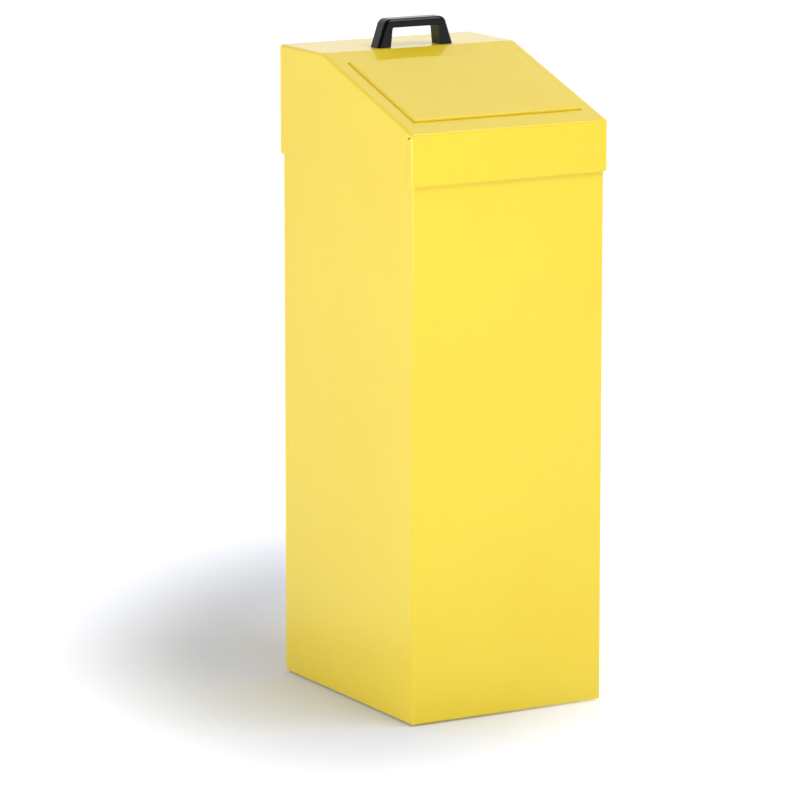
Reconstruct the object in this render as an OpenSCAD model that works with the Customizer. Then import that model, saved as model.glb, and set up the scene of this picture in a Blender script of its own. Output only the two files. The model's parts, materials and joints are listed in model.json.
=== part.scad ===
// Floor-standing sheet steel collection bin: a tall folded body, a lift-off hood
// with a self-closing push flap and a bridge handle, and a galvanised liner inside.
// X runs across the front, the front faces -Y, and Z is up.
// The origin is on the floor, below the middle of the hood.

/* [Body] */
// Width of the body, outside
body_w = 320; // [260:1:400]
// Depth of the body, outside
body_d = 387; // [330:1:470]
// Height of the body sheet, from its lower edge to its rim
body_h = 847; // [700:1:1020]
// Thickness of the painted sheet
sheet = 1; // [0.8:0.05:1.2]
// Outside bend radius of the body's upright corners
body_corner_r = 2.5; // [1.5:0.1:5]
// Width of the rim that is folded in at the top of the body
rim_w = 10; // [8:1:14]
// Width of the flange that is folded in at the bottom of the body
base_flange_w = 14; // [8:1:16]
// Width of the two returns that are folded in behind the back panel's edges
return_w = 18; // [10:1:30]

/* [Base and feet] */
// Gap between the floor and the lower edge of the body
floor_gap = 3; // [2:0.1:6]
// Height of the lips around the base tray
tray_lip_h = 15; // [8:1:30]
// Diameter of each foot
foot_d = 26; // [20:1:30]
// Distance from the sides of the body to the middle of each foot
foot_inset = 32; // [30:1:60]
// Diameter of the stem that is pushed through the base tray
foot_stem_d = 8; // [6:0.5:10]
// Height of the barb above the base tray
foot_barb_h = 3; // [2:0.5:5]

/* [Hood] */
// Gap between the body and the inside of the hood
hood_gap = 3; // [2:0.1:5]
// How far the hood reaches down over the body
hood_overlap = 57; // [40:1:70]
// Height of the upright front of the hood
hood_front_h = 75; // [70:1:95]
// Angle of the sloping face
slope_angle = 18.4; // [15:0.1:24]
// Depth of the level top
hood_top_d = 130.4; // [100:0.1:160]
// Outside bend radius of the hood's upright corners
hood_corner_r = 4; // [3:0.1:6]
// Outside bend radius between the sides and the slope or the top
hood_edge_r = 4.5; // [3:0.1:6]
// Outside bend radius of the folds that run across the hood
hood_fold_r = 4; // [3:0.1:6]

/* [Hood rests] */
// Length of the two angles that the hood sits on
rest_l = 280; // [200:1:300]
// Height of the leg that is welded to the side of the hood
rest_up_h = 20; // [12:1:24]
// Depth of the lip that centres the hood inside the rim
rest_down_h = 12; // [8:1:20]
// Play between that lip and the rim
rest_play = 1; // [0.5:0.1:2]

/* [Flap] */
// Width of the slope left on each side of the flap
side_band = 24; // [23:0.5:32]
// Width of the slope left in front of the flap
front_band = 37.6; // [34:0.1:50]
// Width of the slope left behind the flap
rear_band = 38.2; // [30:0.1:50]
// How far the flap stands proud of the slope
flap_proud = 3.6; // [2:0.1:5]
// Gap between the flap and the edge of the opening
flap_gap = 1.2; // [0.8:0.1:1.4]
// Depth of the flap's side and rear flanges
flap_flange_h = 20; // [19:0.5:24]
// Depth of the flap's front flange
flap_front_h = 14; // [12:0.5:18]
// Width of the stop lip at the foot of the front flange
stop_lip_w = 12; // [11:0.5:16]
// Outside bend radius of the flap's edges
flap_edge_r = 1.6; // [1.2:0.1:2.5]
// Angle through which the flap is pushed in
flap_travel = 60; // [0:1:65]
// Diameter of the two rubber buffers on the stop lip
buffer_d = 10; // [6:0.5:10]
// Distance between the two buffers
buffer_pitch = 200; // [80:1:220]

/* [Flap hinge] */
// Diameter of the hinge rod
rod_d = 6; // [5:0.1:7.2]
// Distance of the rod from the rear face of the flap
hinge_inset = 10; // [10:0.1:12]
// Distance of the rod below the top face of the flap
hinge_depth = 12; // [12:0.1:13]
// Radial play between the rod and what turns on it
run_play = 0.05; // [0.02:0.01:0.1]
// Radial play between the springs and the plastic bushes that carry them
coil_play = 0.6; // [0.4:0.1:0.8]
// Diameter of the head of each bush
bush_head_d = 14; // [12:0.5:15]
// Thickness of the two hinge ears
ear_t = 1.5; // [1:0.1:2]
// Radius of the ears around the rod
ear_r = 9; // [7:0.5:10]
// Diameter of the clips on the ends of the rod
clip_d = 13; // [10:0.5:13]
// Thickness of the clips
clip_t = 1.2; // [0.8:0.1:1.5]

/* [Springs] */
// Diameter of the spring wire
wire_d = 2; // [1.5:0.1:2]
// Mean diameter of the coils
coil_d = 12; // [11.6:0.1:12.4]
// Number of coils drawn close together
coils = 5; // [3:1:5]
// Length of the leg that bears on the hood
still_leg_l = 22; // [18:1:30]
// Length of the leg that hooks into the flap
moving_leg_l = 30; // [20:1:60]
// How far each leg leans in from the line of the slope
leg_lean = 8; // [7:0.5:10]

/* [Handle] */
// Length of the handle at its feet
handle_l = 129; // [112:1:140]
// Length of the handle along its grip
handle_top_l = 100; // [86:1:112]
// Height of the handle
handle_h = 42; // [34:1:52]
// Depth of the handle from front to back
handle_d = 27; // [18:0.5:30]
// Thickness of the grip
grip_t = 13; // [10:0.5:15]
// Width of each leg at the foot
leg_w = 22; // [19:0.5:24]
// How far each side of the gap under the grip leans in at its top
gap_lean = 3.5; // [2:0.5:6]
// Outside radius of the two upper corners
handle_corner_r = 12; // [8:0.5:14]
// Distance between the two screws
screw_pitch = 100; // [84:1:120]
// Distance of the handle behind the fold at the front of the level top
handle_setback = 9; // [6:0.5:20]
// Diameter of the screws
screw_d = 5; // [4:0.1:6]
// Length of each screw below its head
screw_l = 10; // [9:0.5:12]
// Diameter of the screw heads
screw_head_d = 9; // [7:0.5:11]
// Height of the screw heads
screw_head_h = 3; // [2:0.5:5]
// Diameter of the washers
washer_d = 15; // [12:0.5:18]
// Thickness of the washers
washer_t = 1.2; // [0.8:0.1:2]
// Wall of the threaded inserts in the handle
insert_wall = 1; // [0.8:0.1:1.2]
// Height of the inserts
insert_h = 9; // [6:0.5:10]

/* [Liner] */
// Height of the liner
liner_h = 730; // [560:1:880]
// Thickness of the liner's sheet
liner_sheet = 0.8; // [0.6:0.1:1]
// Play between the liner's bead and the rim of the body
liner_play = 3; // [2:0.5:6]
// Diameter of the bead that is rolled around the liner's mouth
bead_d = 5; // [4:0.1:6]
// Outside radius of the liner's upright corners
liner_corner_r = 12; // [8:1:30]
// Height of the liner's floor above its lower edge
liner_floor_rise = 10; // [8:1:20]
// How far the liner can be lifted under the closed hood
liner_travel = 90; // [0:1:100]

/* [Liner handles] */
// Diameter of the wire of the two drop handles
loop_wire_d = 5; // [4:0.1:6]
// Distance between the arms of a drop handle
loop_w = 76; // [60:1:100]
// Distance from the pivot to the cross bar
loop_l = 34; // [30:1:38]
// Distance of the pivot below the liner's mouth
loop_drop = 30; // [24:1:60]
// Thickness of the plates that carry the drop handles
plate_t = 1.5; // [1:0.1:2]
// Height of those plates
plate_h = 26; // [22:1:34]
// Length of each rolled eye
eye_l = 12; // [8:0.5:16]
// Wall of each rolled eye
eye_wall = 1.5; // [1:0.1:2]
// Diameter of the rivets
rivet_d = 4; // [3:0.1:5]

/* [Hidden] */
$fn = 48;
part_gap = 0.3;    // between pieces that turn past each other
fit_gap = 0.1;     // around what is pushed into a hole of the same size
over = 1;          // how far a cut runs past a face

// levels
body_top = floor_gap + body_h;
tray_z = floor_gap + sheet;
hem_z = body_top - hood_overlap;
fold_z = hem_z + hood_front_h;

// hood
hood_w = body_w + 2 * (hood_gap + sheet);
hood_d = body_d + 2 * (hood_gap + sheet);
front_y = -hood_d / 2;
slope_run = hood_d - hood_top_d;
slope_l = slope_run / cos(slope_angle);
top_z = fold_z + slope_run * tan(slope_angle);
top_fold_y = front_y + slope_run;

// rim and liner plan
rim_in_x = body_w / 2 - sheet - rim_w;
rim_in_y = body_d / 2 - sheet - rim_w;
bead_out = 0.8 * bead_d;
liner_w = 2 * (rim_in_x - liner_play - bead_out);
liner_d = 2 * (rim_in_y - liner_play - bead_out);
liner_z = tray_z + sheet;
liner_top = liner_z + liner_h;

// flap, on the slope: u runs up the slope from the front fold, n stands off it
flap_w = hood_w - 2 * side_band;
flap_x = flap_w / 2;
flap_front_u = front_band;
flap_rear_u = slope_l - rear_band;
flap_l = flap_rear_u - flap_front_u;
hinge_u = flap_rear_u - hinge_inset;
hinge_n = flap_proud - hinge_depth;

// along the hinge, outwards from the side of the flap
wire_pitch = 0.95 * wire_d;
moving_coil_x = flap_x + part_gap + 0.3 + wire_d / 2;
coil_x = moving_coil_x + wire_d / 2 + 2 * part_gap + wire_d / 2;
coil_end_x = coil_x + (coils - 1) * wire_pitch;
ear_x = coil_end_x + wire_d / 2 + 1;
clip_x = ear_x + ear_t;
rod_end_x = clip_x + clip_t + 1.2;
leg_r = coil_d / 2 - 0.1;
bush_r = coil_d / 2 - wire_d / 2 - coil_play;
ear_tab_w = 14;
ear_tab_u = hinge_inset + flap_gap;

// liner handles
eye_r = loop_wire_d / 2 + run_play + eye_wall;
loop_axis_y = liner_d / 2 - liner_sheet - plate_t - eye_r;
loop_axis_z = liner_top - loop_drop;
plate_w = loop_w + 2 * (eye_l + 6);

yellow = "#F8DC52";
zinc = "#B9BEC2";
steel = "#8F9498";
black = "#1C1C1E";
brass = "#C9A24A";
nylon = "#E9E6DC";

// ---- shared shapes ----

// Unit vector from a to b
function toward(a, b) = (b - a) / norm(b - a);

// Half of the turn that an outline makes at corner i, and the setback of its fillet
function corner_half(p, i) =
    let (n = len(p), a = toward(p[i], p[(i + n - 1) % n]), b = toward(p[i], p[(i + 1) % n]))
    acos(a * b) / 2;
function corner_setback(p, r, i) = r[i] / tan(corner_half(p, i));

// Convex outline whose corner i is rounded to radius r[i]
module rounded(p, r) {
    n = len(p);
    polygon([for (i = [0 : n - 1]) for (side = [n - 1, 1])
        p[i] + corner_setback(p, r, i) * toward(p[i], p[(i + side) % n])]);
    for (i = [0 : n - 1]) if (r[i] > 0) {
        a = toward(p[i], p[(i + n - 1) % n]);
        b = toward(p[i], p[(i + 1) % n]);
        translate(p[i] + (r[i] / sin(corner_half(p, i))) * toward([0, 0], a + b)) circle(r[i]);
    }
}

// Rectangle centred on the origin with round corners
module plan(w, d, r) {
    rounded([[-w, -d] / 2, [w, -d] / 2, [w, d] / 2, [-w, d] / 2], [r, r, r, r]);
}

// Outline drawn in Y and Z, extruded across X
module across(w) {
    rotate([90, 0, 90]) linear_extrude(w, center = true) children();
}

// Outline drawn in X and Z, extruded along Y
module along(d) {
    rotate([90, 0, 0]) linear_extrude(d, center = true) children();
}

// Round bar along X from x0 to x1
module bar_x(x0, x1, r) {
    translate([x0, 0, 0]) rotate([0, 90, 0]) cylinder(h = x1 - x0, r = r);
}

// Places what is drawn in x, u and n onto the slope
module on_slope() {
    translate([0, front_y, fold_z]) rotate([slope_angle, 0, 0]) children();
}

// Places what is drawn around the hinge line, as if the slope were level
module on_hinge() {
    on_slope() translate([0, hinge_u, hinge_n]) children();
}

module flip_x(side) {
    if (side < 0) mirror([1, 0, 0]) children();
    else children();
}

module flip_y(side) {
    if (side < 0) mirror([0, 1, 0]) children();
    else children();
}

// ---- body ----

// Wall all round the body, before it is cut into sheets
module body_form() {
    translate([0, 0, floor_gap]) linear_extrude(body_h) difference() {
        plan(body_w, body_d, body_corner_r);
        plan(body_w - 2 * sheet, body_d - 2 * sheet, body_corner_r - sheet);
    }
}

// Edge folded in to width w along the front and both sides, as far back as the back panel
module folded_edge(z, w) {
    in_x = body_w / 2 - sheet - w;
    in_y = body_d / 2 - sheet - w;
    back_y = body_d / 2 - 2 * sheet;
    translate([0, 0, z]) linear_extrude(sheet) difference() {
        plan(body_w, body_d, body_corner_r);
        translate([-in_x, -in_y]) square([2 * in_x, 2 * body_d]);
        translate([-body_w, back_y]) square([2 * body_w, body_d]);
    }
}

module body_wrap() color(yellow) {
    difference() {
        body_form();
        translate([-body_w / 2 + return_w, 0, -over])
            cube([body_w - 2 * return_w, body_d, body_top + 2 * over]);
    }
    folded_edge(body_top - sheet, rim_w);
    folded_edge(floor_gap, base_flange_w);
}

module back_panel() color(yellow) {
    panel_w = body_w - 2 * body_corner_r;
    panel_y = body_d / 2 - 2 * sheet;
    translate([-panel_w / 2, panel_y, floor_gap]) cube([panel_w, sheet, body_h]);
    for (edge = [[body_top - sheet, rim_w], [floor_gap, base_flange_w]]) {
        flange_w = body_w - 2 * (sheet + edge[1]);
        translate([-flange_w / 2, body_d / 2 - sheet - edge[1], edge[0]])
            cube([flange_w, edge[1], sheet]);
    }
}

module foot_places() {
    for (x = [-1, 1], y = [-1, 1])
        translate([x * (body_w / 2 - foot_inset), y * (body_d / 2 - foot_inset), 0]) children();
}

module base_tray() color(yellow) {
    tray_w = body_w - 2 * sheet;
    tray_d = body_d - 3 * sheet;
    tray_r = body_corner_r + sheet;
    translate([0, -sheet / 2, tray_z]) difference() {
        linear_extrude(sheet + tray_lip_h) plan(tray_w, tray_d, tray_r);
        translate([0, 0, sheet])
            linear_extrude(tray_lip_h + over) plan(tray_w - 2 * sheet, tray_d - 2 * sheet, tray_r - sheet);
        translate([0, sheet / 2, -over]) foot_places()
            cylinder(h = sheet + 2 * over, d = foot_stem_d + 2 * fit_gap);
    }
}

module foot(x, y) color(black) {
    translate([x * (body_w / 2 - foot_inset), y * (body_d / 2 - foot_inset), 0]) {
        cylinder(h = 1, d1 = foot_d - 2, d2 = foot_d);
        translate([0, 0, 1]) cylinder(h = tray_z - 1, d = foot_d);
        cylinder(h = tray_z + sheet + 0.5, d = foot_stem_d);
        translate([0, 0, tray_z + sheet + fit_gap])
            cylinder(h = foot_barb_h, d1 = foot_stem_d + 2.4, d2 = foot_stem_d - 1);
    }
}

// ---- hood ----

// The hood as a solid block, set in by t from its outside; t = 0 is the outside
module hood_form(t) {
    low = hem_z - (t > 0 ? over : 0);
    half = hood_d / 2 - t;
    // the inner slope and top lie t below the outer ones
    inner_fold_z = fold_z - t / cos(slope_angle) + t * tan(slope_angle);
    inner_top_z = top_z - t;
    inner_top_y = -half + (inner_top_z - inner_fold_z) / tan(slope_angle);
    intersection() {
        across(hood_w - 2 * t) rounded(
            [[-half, low], [half, low], [half, inner_top_z], [inner_top_y, inner_top_z],
             [-half, inner_fold_z]],
            [0, 0, hood_fold_r - t, hood_fold_r + 2 - t, hood_fold_r - t]);
        translate([0, 0, low]) linear_extrude(top_z)
            plan(hood_w - 2 * t, hood_d - 2 * t, hood_corner_r - t);
        on_slope() hood_edge_form(t);
        translate([0, 0, top_z]) hood_edge_form(t);
    }
}

// Long block whose top face is level and whose two upper edges are rounded
module hood_edge_form(t) {
    half = hood_w / 2 - t;
    along(6 * hood_d) rounded([[-half, -body_h], [half, -body_h], [half, -t], [-half, -t]],
        [0, 0, hood_edge_r - t, hood_edge_r - t]);
}

module screw_places() {
    for (x = [-1, 1])
        translate([x * screw_pitch / 2, top_fold_y + handle_setback + handle_d / 2, top_z]) children();
}

module hood_shell() color(yellow) {
    difference() {
        hood_form(0);
        hood_form(sheet);
        on_slope() translate([-flap_x - flap_gap, flap_front_u - flap_gap, -2 * sheet])
            cube([flap_w + 2 * flap_gap, flap_l + 2 * flap_gap, 4 * sheet]);
        screw_places() translate([0, 0, -2 * sheet]) cylinder(h = 4 * sheet, d = screw_d + 0.5);
    }
}

module hood_rest(side) color(yellow) {
    wall_x = hood_w / 2 - sheet;
    lip_x = rim_in_x - rest_play - sheet;
    flip_x(side) along(rest_l) {
        translate([wall_x - sheet, body_top]) square([sheet, rest_up_h]);
        translate([lip_x, body_top]) square([wall_x - lip_x, sheet]);
        translate([lip_x, body_top - rest_down_h]) square([sheet, rest_down_h + sheet]);
    }
}

module handle() color(black) {
    legs_x = handle_l / 2 - leg_w;
    gap_h = handle_h - grip_t;
    gap_top_x = legs_x - gap_lean;
    translate([0, top_fold_y + handle_setback + handle_d / 2, top_z]) difference() {
        intersection() {
            along(handle_d) rounded(
                [[-handle_l, 0] / 2, [handle_l, 0] / 2, [handle_top_l / 2, handle_h],
                 [-handle_top_l / 2, handle_h]],
                [1, 1, handle_corner_r, handle_corner_r]);
            across(handle_l) rounded(
                [[-handle_d, 0] / 2, [handle_d, 0] / 2, [handle_d / 2 - 1, handle_h],
                 [1 - handle_d / 2, handle_h]],
                [1, 1, 4, 4]);
        }
        along(handle_d + 2 * over) rounded(
            [[-legs_x, -over], [legs_x, -over], [gap_top_x, gap_h], [-gap_top_x, gap_h]],
            [0, 0, 3, 3]);
        for (x = [-1, 1]) translate([x * screw_pitch / 2, 0, -over])
            cylinder(h = over + insert_h + 1.5, d = screw_d + 2 * (fit_gap + insert_wall + run_play));
    }
}

module handle_inserts() color(brass) {
    screw_places() difference() {
        cylinder(h = insert_h, d = screw_d + 2 * (insert_wall + run_play));
        translate([0, 0, -over]) cylinder(h = insert_h + 2 * over, d = screw_d + 2 * run_play);
    }
}

module handle_washers() color(steel) {
    screw_places() translate([0, 0, -sheet - washer_t]) difference() {
        cylinder(h = washer_t, d = washer_d);
        translate([0, 0, -over]) cylinder(h = washer_t + 2 * over, d = screw_d + 0.4);
    }
}

module handle_screws() color(steel) {
    screw_places() translate([0, 0, -sheet - washer_t]) {
        cylinder(h = screw_l, d = screw_d);
        difference() {
            translate([0, 0, -screw_head_h]) cylinder(h = screw_head_h, d = screw_head_d);
            translate([0, 0, -screw_head_h - over])
                cylinder(h = over + 0.7 * screw_head_h, d = 0.6 * screw_d, $fn = 6);
        }
    }
}

// ---- flap hinge, held by the hood ----

module hinge_ear(side) color(steel) {
    under = -sheet - hinge_n;
    flip_x(side) on_hinge() difference() {
        union() {
            bar_x(ear_x, ear_x + ear_t, ear_r);
            translate([ear_x, -ear_r, 0]) cube([ear_t, 2 * ear_r, under]);
            translate([ear_x, 0, under - 8]) cube([ear_t, ear_tab_u + ear_tab_w, 8]);
            translate([coil_x, ear_tab_u, under - ear_t])
                cube([ear_x + ear_t - coil_x, ear_tab_w, ear_t]);
        }
        translate([ear_x - over, -2 * ear_r, under]) cube([ear_t + 2 * over, 4 * ear_r, ear_r]);
        bar_x(ear_x - over, ear_x + ear_t + over, rod_d / 2 + run_play);
    }
}

module hinge_rod() color(steel) {
    on_hinge() bar_x(-rod_end_x, rod_end_x, rod_d / 2);
}

module rod_clip(side) color(steel) {
    flip_x(side) on_hinge() difference() {
        bar_x(clip_x, clip_x + clip_t, clip_d / 2);
        bar_x(clip_x - over, clip_x + clip_t + over, rod_d / 2 + run_play);
    }
}

// One coil of wire around the hinge line
module coil(x) {
    translate([x, 0, 0]) rotate([0, 90, 0]) rotate_extrude() translate([coil_d / 2, 0]) circle(d = wire_d);
}

// Close coils, and the leg that bears on the ear's tab
module spring(side) color(steel) {
    flip_x(side) on_hinge() {
        for (i = [0 : coils - 1]) coil(coil_x + i * wire_pitch);
        rotate([-leg_lean, 0, 0]) translate([coil_end_x, 0, leg_r])
            rotate([-90, 0, 0]) cylinder(h = still_leg_l, d = wire_d);
    }
}

// ---- flap ----

// The last coil of the spring and its hooked leg, which turn with the flap
module spring_hook(side) color(steel) {
    flip_x(side) on_hinge() {
        coil(moving_coil_x);
        rotate([-leg_lean, 0, 0]) translate([moving_coil_x, 0, -leg_r]) {
            rotate([90, 0, 0]) cylinder(h = moving_leg_l, d = wire_d);
            translate([0, -moving_leg_l, 0]) {
                sphere(d = wire_d);
                hook();
            }
        }
    }
}

// End of the moving leg, turned in through the side of the flap
module hook(play = 0) {
    bar_x(flap_x - sheet - 2.5 - moving_coil_x, 0, wire_d / 2 + play);
}

module flap_form(t) {
    intersection() {
        across(flap_w - 2 * t) rounded(
            [[flap_front_u + t, flap_proud - flap_flange_h - (t > 0 ? over : 0)],
             [flap_rear_u - t, flap_proud - flap_flange_h - (t > 0 ? over : 0)],
             [flap_rear_u - t, flap_proud - t], [flap_front_u + t, flap_proud - t]],
            [0, 0, flap_edge_r - t, flap_edge_r - t]);
        translate([0, flap_front_u + flap_l / 2, 0]) along(flap_l - 2 * t) rounded(
            [[-flap_x + t, -2 * flap_flange_h], [flap_x - t, -2 * flap_flange_h],
             [flap_x - t, flap_proud - t], [-flap_x + t, flap_proud - t]],
            [0, 0, flap_edge_r - t, flap_edge_r - t]);
    }
}

module flap_pan() color(yellow) {
    lip_n = flap_proud - flap_front_h;
    lip_w = flap_w - 2 * 15;
    difference() {
        on_slope() flap_form(0);
        on_slope() flap_form(sheet);
        on_slope() translate([-flap_x + sheet, flap_front_u - over, lip_n - flap_flange_h])
            cube([flap_w - 2 * sheet, sheet + over, flap_flange_h]);
        on_hinge() bar_x(-flap_x - over, flap_x + over, bush_r + fit_gap);
        for (side = [-1, 1]) flip_x(side) on_hinge() rotate([-leg_lean, 0, 0])
            translate([moving_coil_x, -moving_leg_l, -leg_r]) hook(fit_gap);
    }
    on_slope() translate([-lip_w / 2, flap_front_u - stop_lip_w, lip_n])
        cube([lip_w, stop_lip_w + sheet, sheet]);
}

module flap_bush(side) color(nylon) {
    head_x = flap_x - sheet - 2;
    flip_x(side) on_hinge() difference() {
        union() {
            bar_x(head_x, flap_x - sheet, bush_head_d / 2);
            bar_x(head_x, ear_x - part_gap, bush_r);
        }
        bar_x(head_x - over, ear_x + over, rod_d / 2 + run_play);
    }
}

module buffer(side) color(black) {
    lip_top_n = flap_proud - flap_front_h + sheet;
    on_slope() translate([side * buffer_pitch / 2, flap_front_u - flap_gap - buffer_d / 2 - 0.4, lip_top_n])
        cylinder(h = -sheet - lip_top_n - 0.2, d = buffer_d);
}

// ---- liner ----

module liner_plan(t) {
    plan(liner_w - 2 * t, liner_d - 2 * t, liner_corner_r - t);
}

module rivet_places(side) {
    for (x = [-1, 1]) flip_y(side)
        translate([x * 12, liner_d / 2, loop_axis_z]) rotate([90, 0, 0]) children();
}

// Bead around the mouth: four straight bars and four quarter turns
module bead() {
    run = bead_out - bead_d / 2;
    corner_r = liner_corner_r + run;
    for (turn = [0, 1]) {
        w = turn == 0 ? liner_w : liner_d;
        d = turn == 0 ? liner_d : liner_w;
        for (side = [-1, 1]) rotate([0, 0, 90 * turn]) translate([0, side * (d / 2 + run), 0])
            bar_x(-w / 2 + liner_corner_r, w / 2 - liner_corner_r, bead_d / 2);
    }
    for (x = [-1, 1], y = [-1, 1]) mirror([x < 0 ? 1 : 0, 0, 0]) mirror([0, y < 0 ? 1 : 0, 0])
        translate([liner_w / 2 - liner_corner_r, liner_d / 2 - liner_corner_r, 0])
            rotate_extrude(angle = 90) translate([corner_r, 0]) circle(d = bead_d);
}

module liner_wall() color(zinc) {
    difference() {
        union() {
            translate([0, 0, liner_z]) linear_extrude(liner_h) liner_plan(0);
            translate([0, 0, liner_top - bead_d / 2]) bead();
        }
        translate([0, 0, liner_z - over]) linear_extrude(liner_h + 2 * over) liner_plan(liner_sheet);
        for (side = [-1, 1]) rivet_places(side)
            translate([0, 0, -over]) cylinder(h = liner_sheet + 2 * over, d = rivet_d + 2 * run_play);
    }
}

module liner_floor() color(zinc) {
    inset = liner_sheet + fit_gap;
    translate([0, 0, liner_z + 1]) difference() {
        linear_extrude(liner_floor_rise - 1 + liner_sheet) liner_plan(inset);
        translate([0, 0, -over])
            linear_extrude(liner_floor_rise - 1 + over) liner_plan(inset + liner_sheet);
    }
}

// Plate with two rolled eyes; side -1 is the front one
module liner_plate(side) color(zinc) {
    inner_y = liner_d / 2 - liner_sheet;
    difference() {
        flip_y(side) translate([0, 0, loop_axis_z]) {
            translate([-plate_w / 2, inner_y - plate_t, -plate_h / 2]) cube([plate_w, plate_t, plate_h]);
            for (x = [-1, 1]) translate([x * (loop_w / 2 + part_gap + loop_wire_d / 2 + eye_l / 2), loop_axis_y, 0])
                eye();
        }
        rivet_places(side) cylinder(h = 10, d = rivet_d + 2 * run_play);
    }
}

module eye() {
    difference() {
        union() {
            bar_x(-eye_l / 2, eye_l / 2, eye_r);
            translate([-eye_l / 2, 0, -eye_r]) cube([eye_l, eye_r, 2 * eye_r]);
        }
        bar_x(-eye_l, eye_l, loop_wire_d / 2 + run_play);
    }
}

module liner_rivets() color(steel) {
    for (side = [-1, 1]) rivet_places(side) {
        cylinder(h = liner_sheet + plate_t, d = rivet_d);
        translate([0, 0, -1]) cylinder(h = 1, d1 = rivet_d, d2 = rivet_d + 2.4);
        translate([0, 0, liner_sheet + plate_t]) cylinder(h = 1, d1 = rivet_d + 2.4, d2 = rivet_d);
    }
}

// Drop handle of bent wire, hanging from its eyes
module liner_loop(side) color(steel) {
    r = loop_wire_d / 2;
    end_x = loop_w / 2 + part_gap + r + eye_l + 1;
    flip_y(side) translate([0, loop_axis_y, loop_axis_z]) {
        for (x = [-1, 1]) {
            flip_x(x) bar_x(loop_w / 2, end_x, r);
            translate([x * loop_w / 2, 0, -loop_l]) cylinder(h = loop_l, r = r);
            for (z = [0, -loop_l]) translate([x * loop_w / 2, 0, z]) sphere(r = r);
        }
        translate([0, 0, -loop_l]) bar_x(-loop_w / 2, loop_w / 2, r);
    }
}

body_wrap();
back_panel();
base_tray();
foot(-1, -1);  // foot_front_left
foot(1, -1);  // foot_front_right
foot(-1, 1);  // foot_back_left
foot(1, 1);  // foot_back_right
hood_shell();
hood_rest(-1);  // hood_rest_left
hood_rest(1);  // hood_rest_right
hinge_ear(-1);  // hinge_ear_left
hinge_ear(1);  // hinge_ear_right
hinge_rod();
rod_clip(-1);  // rod_clip_left
rod_clip(1);  // rod_clip_right
spring(-1);  // spring_left
spring(1);  // spring_right
handle();
handle_inserts();
handle_washers();
handle_screws();
flap_pan();
flap_bush(-1);  // flap_bush_left
flap_bush(1);  // flap_bush_right
spring_hook(-1);  // spring_hook_left
spring_hook(1);  // spring_hook_right
buffer(-1);  // buffer_left
buffer(1);  // buffer_right
liner_wall();
liner_floor();
liner_plate(-1);  // liner_plate_front
liner_plate(1);  // liner_plate_back
liner_rivets();
liner_loop(-1);  // liner_loop_front
liner_loop(1);  // liner_loop_back
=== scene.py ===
# Yellow sheet steel collection bin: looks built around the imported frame.
import json
import math
import bpy
import bmesh
from mathutils import Matrix, Vector


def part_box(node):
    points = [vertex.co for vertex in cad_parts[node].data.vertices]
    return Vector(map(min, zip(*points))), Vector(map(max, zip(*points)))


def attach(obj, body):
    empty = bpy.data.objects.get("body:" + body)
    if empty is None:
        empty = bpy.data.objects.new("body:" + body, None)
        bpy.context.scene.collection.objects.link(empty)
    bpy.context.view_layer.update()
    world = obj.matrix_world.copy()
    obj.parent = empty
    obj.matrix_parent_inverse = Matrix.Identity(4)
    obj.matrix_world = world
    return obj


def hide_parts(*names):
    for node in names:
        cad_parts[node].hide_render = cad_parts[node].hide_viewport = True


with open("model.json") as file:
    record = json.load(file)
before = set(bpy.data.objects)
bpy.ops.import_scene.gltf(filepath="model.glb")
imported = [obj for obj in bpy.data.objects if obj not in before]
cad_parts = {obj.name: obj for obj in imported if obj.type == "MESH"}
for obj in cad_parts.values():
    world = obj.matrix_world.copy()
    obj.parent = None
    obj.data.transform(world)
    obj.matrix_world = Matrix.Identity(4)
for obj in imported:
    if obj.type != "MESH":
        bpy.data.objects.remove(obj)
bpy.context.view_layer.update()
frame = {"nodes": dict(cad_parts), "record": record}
mm = 0.001
hair = 0.01 * mm  # nearer than this counts as the same place
split = 1e-7  # how near a corner may lie to a cutting plane
nodes = frame["nodes"]
print("frame loaded:", len(nodes), "nodes")


class Val:
    # wraps a socket, so that shader maths reads as an expression
    def __init__(self, build, socket):
        self.build = build
        self.socket = socket

    def __add__(self, other):
        return self.build.math("ADD", self, other)

    def __rsub__(self, other):
        return self.build.math("SUBTRACT", other, self)

    def __mul__(self, other):
        return self.build.math("MULTIPLY", self, other)

    __radd__ = __add__
    __rmul__ = __mul__


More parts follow.
